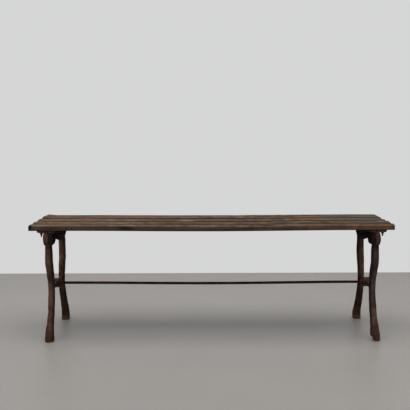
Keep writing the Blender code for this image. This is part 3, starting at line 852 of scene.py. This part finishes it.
def weather(board, number, low, high, underside):
    """Raises the grain, sinks hollows and checks, chips the edges, paints where stain, dirt, painted shade
    and painted light sit, and lets the board sag between the castings."""
    layers = {name: board.verts.layers.float.new(name) for name in STAIN_COLOURS}
    checks = checks_in(number, low, high)
    stains = [stain for stain in STAINS if stain[1] == number]
    middle_y, half_width = (low.y + high.y) / 2, (high.y - low.y) / 2
    sag = underside - low.z
    rest_span = -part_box("end_frame_left")[1].x
    drawn_out = GRAIN_LENGTH / GRAIN_WIDTH
    own = Vector((number * GRAIN_APART, 0, 0))
    board.normal_update()
    for vert in board.verts:
        at = vert.co.copy()
        across = (at.y - middle_y) / half_width
        on_top = ease(vert.normal.z, *FACING_UP)
        seated = ease(-vert.normal.z, *FACING_DOWN)
        fine_grain = ripple(at + own, FINE_GRAIN_WIDTH, (FINE_GRAIN_STRETCH, 1, 1))
        grain = ripple(at + own, GRAIN_WIDTH, (drawn_out, 1, 1)) + FINE_GRAIN_SHARE * fine_grain
        relief = (grain - GRAIN_SINK) * GRAIN_HEIGHT * (1 - seated)
        relief -= max(0.0, ripple(at + own, HOLLOW_SIZE, (5, 1, 1))) * HOLLOW_DEPTH * on_top
        at_edge = ease(abs(across), *CHIP_ACROSS) * ease(at.z, *(underside + rise for rise in CHIP_RISE))
        chip = ease(ripple(at + own, CHIP_SIZE, (1.6, 1, 1)), *CHIP_NOISE) * at_edge
        relief -= chip * CHIP_DEPTH
        depth = 0.0
        for start, end, line, deep in checks:
            if start < at.x < end:
                wander = line + CHECK_WANDER * ripple(Vector((at.x, line, number)), CHECK_WAVE)
                shut = min(1.0, CHECK_TAPER * min(at.x - start, end - at.x) / (end - start))
                depth = max(depth, deep * shut * max(0.0, 1 - abs(at.y - wander) / CHECK_WIDTH))
        relief -= depth * (1 - seated)
        vert[layers["check"]] = min(1.0, depth / CHECK_DEPTH * CHECK_DARKNESS) * (1 - seated)
        # painted shade low on the sides and underneath, dirt and painted shade along the edges in the gaps,
        # and chips darkened
        low_on_side = ease(at.z, underside + SIDE_SHADE_HEIGHT, underside) * (1 - on_top)
        open_edge = (number == FRONT_SLAT and across < 0) or (number == REAR_SLAT and across > 0)
        to_edge = half_width * (1 - abs(across))
        gap_band = REAR_GAP_DIRT_AND_SHADE if across > 0 else FRONT_GAP_DIRT_AND_SHADE
        in_gap = 0.0 if open_edge else ease(to_edge, gap_band, gap_band / 3)
        dirt_and_shade = max(low_on_side * SIDE_SHADE, in_gap, seated * UNDERSIDE_SHADE, chip * CHIP_DARKENING)
        vert[layers["grime_and_shade"]] = min(1.0, dirt_and_shade)
        for kind, _, x, half_length, place, half_reach in stains:
            strength = 1 - ((at.x - x) / half_length) ** 2 - ((across - place) / half_reach) ** 2
            vert[layers[kind]] = max(vert[layers[kind]], min(1.0, strength * STAIN_STRENGTH))
        vert.co += vert.normal * relief
        vert.co.z -= sag_at(at.x, rest_span, sag) * (REAR_SAG_SHARE if number == REAR_SLAT else 1.0)


def hole_cutter(x, y, bolt):
    """Solid that cuts the countersunk hole of a bolt."""
    foot, head = (corner.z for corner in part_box(bolt))
    radius = BOLT_RADIUS + HOLE_CLEARANCE
    head_radius = (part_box(bolt)[1].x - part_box(bolt)[0].x) / 2 + HOLE_CLEARANCE
    cone_top = head - HEAD_RIM
    profile = [
        (0, foot),
        (radius, foot),
        (radius, cone_top - (head_radius - radius)),
        (head_radius, cone_top),
        (head_radius, head + CUTTER_RISE),
        (0, head + CUTTER_RISE),
    ]
    cutter = turned(profile, closed=False)
    bmesh.ops.translate(cutter, verts=cutter.verts, vec=(x, y, 0))
    made = linked("hole_cutter", cutter)
    cutter.free()
    return made


TIMBER = timber_look()
slat_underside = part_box("end_frame_left")[1].z + SEAT_CLEARANCE
for number in SLATS:
    slat_node = f"seat_slat_{number}"
    low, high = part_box(slat_node)
    slat = sawn_board(number, low, high, slat_underside)
    for side in ("left", "right"):
        bolt_node = f"slat_bolt_{side}_{number}"
        bolt_low, bolt_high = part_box(bolt_node)
        bolt_middle = (bolt_low + bolt_high) / 2
        cutter = hole_cutter(bolt_middle.x, bolt_middle.y, bolt_node)
        reshape(slat, "BOOLEAN", operation="DIFFERENCE", solver="EXACT", object=cutter)
        discard(cutter)
    weather(slat, number, low, high, slat_underside)
    hand_over(f"worn_slat_{number}", slat, TIMBER, slat_node)


# Slat bolts
# A steel bolt with a slotted countersunk head goes down through each end of each slat and through the flange
# of the casting. The heads lie just below the worn wood, and the threaded ends stick out under the nuts.
SLOT_WIDTH = 0.0016
SLOT_DEPTH = 0.0011
SLOT_SEED = 11
BOLT_THREAD_LENGTH = 0.020
BOLT_THREAD_SIDES = 12
BOLT_PITCH = 0.001
HEAD_WORN_IN = 0.0004
HEAD_WORN_DOWN = 0.0003
HEAD_BARE = (0.15, 0.12, 0.10)
HEAD_BARE_SHARE = 0.7
RUBBED_RISE = (0.018, 0.0205)


def head_look():
    """Rusted steel, rubbed bare and paler on the heads, which people sit on."""
    coat, rust = FASTENER_COAT, FASTENER_RUST
    finish, colour, rusted = rusted_metal(
        "rubbed_bolt", coat, rust, RUST_ORANGE, patch=0.008, rust_from=0.5, bloom_from=0.66
    )
    height = finish.node("ShaderNodeSeparateXYZ", {0: finish.place}).outputs["Z"]
    rubbed = finish.span(height, *(slat_underside + rise for rise in RUBBED_RISE), end=HEAD_BARE_SHARE)
    colour = finish.blend(rubbed, colour, HEAD_BARE)
    return finish.surface(colour, finish.span(rusted, 0.0, 1.0, 0.45, 0.75))


def slat_bolt(x, y, foot, head, head_radius, slot_turn):
    """Countersunk bolt with a slot across its head and a thread on its lower end."""
    tip = BOLT_RADIUS / 4
    cone_top = head - HEAD_RIM
    bolt = turned(
        [
            (0, foot),
            (BOLT_RADIUS - tip, foot),
            (BOLT_RADIUS, foot + tip),
            (BOLT_RADIUS, cone_top - (head_radius - BOLT_RADIUS)),
            (head_radius, cone_top),
            (head_radius, head - HEAD_WORN_DOWN),
            (head_radius - HEAD_WORN_IN, head),
            (0, head),
        ],
        closed=False,
    )
    slot = bmesh.new()
    size = Matrix.Diagonal((3 * head_radius, SLOT_WIDTH, 2 * SLOT_DEPTH, 1))
    turn = Matrix.Rotation(slot_turn, 4, "Z")
    bmesh.ops.create_cube(slot, size=1.0, matrix=Matrix.Translation((0, 0, head)) @ turn @ size)
    slot_cutter = linked("slot_cutter", slot)
    slot.free()
    reshape(bolt, "BOOLEAN", operation="DIFFERENCE", solver="EXACT", object=slot_cutter)
    discard(slot_cutter)
    thread_place = Matrix.Translation((0, 0, foot + tip))
    wind_thread(
        bolt, thread_place, BOLT_THREAD_LENGTH, BOLT_RADIUS - THREAD_SINK, BOLT_PITCH, BOLT_THREAD_SIDES
    )
    bmesh.ops.translate(bolt, verts=bolt.verts, vec=(x, y, 0))
    return bolt


HEADS = head_look()
slot_turns = random.Random(SLOT_SEED)
for side in ("left", "right"):
    for number in SLATS:
        bolt_node = f"slat_bolt_{side}_{number}"
        low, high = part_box(bolt_node)
        middle = (low + high) / 2
        head_radius = (high.x - low.x) / 2
        slot_turn = slot_turns.uniform(0, math.pi)
        bolt = slat_bolt(middle.x, middle.y, low.z, high.z, head_radius, slot_turn)
        hand_over(f"countersunk_bolt_{side}_{number}", bolt, HEADS, bolt_node)


# Slat washers and square nuts
# Under each flange a plain washer and a square nut hold a slat bolt from below, with the end of its thread
# sticking out. They are of steel, rusted like the fasteners on the rod.
for side in ("left", "right"):
    for number in SLATS:
        for kind in ("washer", "nut"):
            under_node = f"slat_{kind}_{side}_{number}"
            low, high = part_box(under_node)
            middle = (low + high) / 2
            sizes = ((high.x - low.x) / 2, BOLT_RADIUS + NUT_CLEARANCE, high.z - low.z)
            ring = washer(*sizes) if kind == "washer" else nut(4, *sizes)
            put_in_place(ring, Matrix.Translation((middle.x, middle.y, low.z)))
            hand_over(f"under_{kind}_{side}_{number}", ring, RUSTY, under_node)


# Floor and backdrop
# A plain pale floor and a plain paler wall behind the bench. The wall has no back, so that the bench shows
# from behind too.
FLOOR_COLOUR = (0.308, 0.290, 0.273)
FLOOR_SHADES = (0.97, 1.03)
FLOOR_CLOUD = 0.35
FLOOR_ROUGHNESS = 0.45
WALL_COLOUR = (0.86, 0.865, 0.865)
WALL_TONE = (0.668, 0.671, 0.671)
STAGE_SIZE = 14.0
WALL_SETBACK = 1.282


def stage_plane(name, place):
    plane = bmesh.new()
    bmesh.ops.create_grid(plane, x_segments=1, y_segments=1, size=STAGE_SIZE / 2, matrix=place)
    made = linked(name, plane)
    plane.free()
    return made


floor = stage_plane("floor", Matrix())
floor_finish = Finish("pale_floor", specular=0.3)
darker, paler = ([value * shade for value in FLOOR_COLOUR] for shade in FLOOR_SHADES)
cloudy = floor_finish.tones(floor_finish.mottle(FLOOR_CLOUD), (0.3, darker), (0.7, paler))
floor.data.materials.append(floor_finish.surface(cloudy, FLOOR_ROUGHNESS))

wall_place = Matrix.Translation((0, WALL_SETBACK, STAGE_SIZE / 2)) @ Matrix.Rotation(math.pi / 2, 4, "X")
wall = stage_plane("wall", wall_place)
wall_finish = Finish("pale_wall", roughness=0.9, specular=0.1)
wall_finish.put(wall_finish.shader.inputs["Base Color"], WALL_COLOUR)
ray = wall_finish.node("ShaderNodeLightPath")
looked_at = wall_finish.math("MAXIMUM", ray.outputs["Is Camera Ray"], ray.outputs["Is Glossy Ray"])
looked_at = wall_finish.math("MAXIMUM", looked_at, ray.outputs["Is Transmission Ray"])
even = wall_finish.node("ShaderNodeEmission", {"Color": WALL_TONE, "Strength": 1.0}).outputs["Emission"]
lit = wall_finish.shader.outputs["BSDF"]
front_side = wall_finish.node("ShaderNodeMixShader", {0: looked_at, 1: lit, 2: even}).outputs["Shader"]
from_behind = wall_finish.node("ShaderNodeNewGeometry").outputs["Backfacing"]
clear = wall_finish.node("ShaderNodeBsdfTransparent").outputs["BSDF"]
sides = {0: from_behind, 1: front_side, 2: clear}
one_sided = wall_finish.node("ShaderNodeMixShader", sides).outputs["Shader"]
wall_finish.put(wall_finish.tree.nodes["Material Output"].inputs["Surface"], one_sided)
wall.data.materials.append(wall_finish.material)


# Light
# Broad soft studio light: one large lamp overhead, a weaker one in front, and a pale room all round, which
# looks brighter than the light it gives.
ROOM_COLOUR = (0.72, 0.73, 0.74)
ROOM_LIGHT = 0.30


def soft_lamp(name, place, target, size, power):
    lamp = bpy.data.lights.new(name, "AREA")
    lamp.shape = "RECTANGLE"
    lamp.size, lamp.size_y = size
    lamp.energy = power
    made = bpy.data.objects.new(name, lamp)
    made.location = place
    made.rotation_euler = (Vector(target) - Vector(place)).to_track_quat("-Z", "Y").to_euler()
    bpy.context.scene.collection.objects.link(made)


soft_lamp("overhead_lamp", place=(0.0, -0.7, 3.2), target=(0, 0, 0), size=(5.0, 2.5), power=105)
soft_lamp("front_lamp", place=(-0.8, -4.2, 2.6), target=(0, 0, 0.3), size=(3.5, 1.8), power=28)
room = bpy.data.worlds.new("pale_room")
room.use_nodes = True
room_nodes, room_link = room.node_tree.nodes, room.node_tree.links.new
background = room_nodes["Background"]
background.inputs["Color"].default_value = (*ROOM_COLOUR, 1.0)
room_ray = room_nodes.new("ShaderNodeLightPath")
seen = room_ray.outputs["Is Camera Ray"]
for kind in ("Is Glossy Ray", "Is Transmission Ray"):
    either = room_nodes.new("ShaderNodeMath")
    either.operation = "MAXIMUM"
    room_link(seen, either.inputs[0])
    room_link(room_ray.outputs[kind], either.inputs[1])
    seen = either.outputs[0]
level = room_nodes.new("ShaderNodeMapRange")
level.inputs["To Min"].default_value = ROOM_LIGHT
room_link(seen, level.inputs["Value"])
room_link(level.outputs["Result"], background.inputs["Strength"])
bpy.context.scene.world = room
bpy.context.scene.view_settings.view_transform = "Standard"


# Camera
# It stands in front of the bench, a little above the seat and almost square to it, as in the photograph.
# Its focal length is given in pixels of the picture.
CAMERA_PLACE = (-0.0405, -3.3721, 0.8519)
CAMERA_TILT = math.radians(5.7033)
CAMERA_TURN = math.radians(-0.253)
CAMERA_ROLL = math.radians(0.14)
FOCAL_PIXELS = 832.2
FRAME_PIXELS = 410
SENSOR_WIDTH = 36
camera_data = bpy.data.cameras.new("camera")
camera_data.sensor_width = SENSOR_WIDTH
camera_data.lens = FOCAL_PIXELS / FRAME_PIXELS * SENSOR_WIDTH
camera = bpy.data.objects.new("camera", camera_data)
camera.location = CAMERA_PLACE
camera.rotation_euler = (math.pi / 2 - CAMERA_TILT, CAMERA_ROLL, CAMERA_TURN)
bpy.context.scene.collection.objects.link(camera)
bpy.context.scene.camera = camera
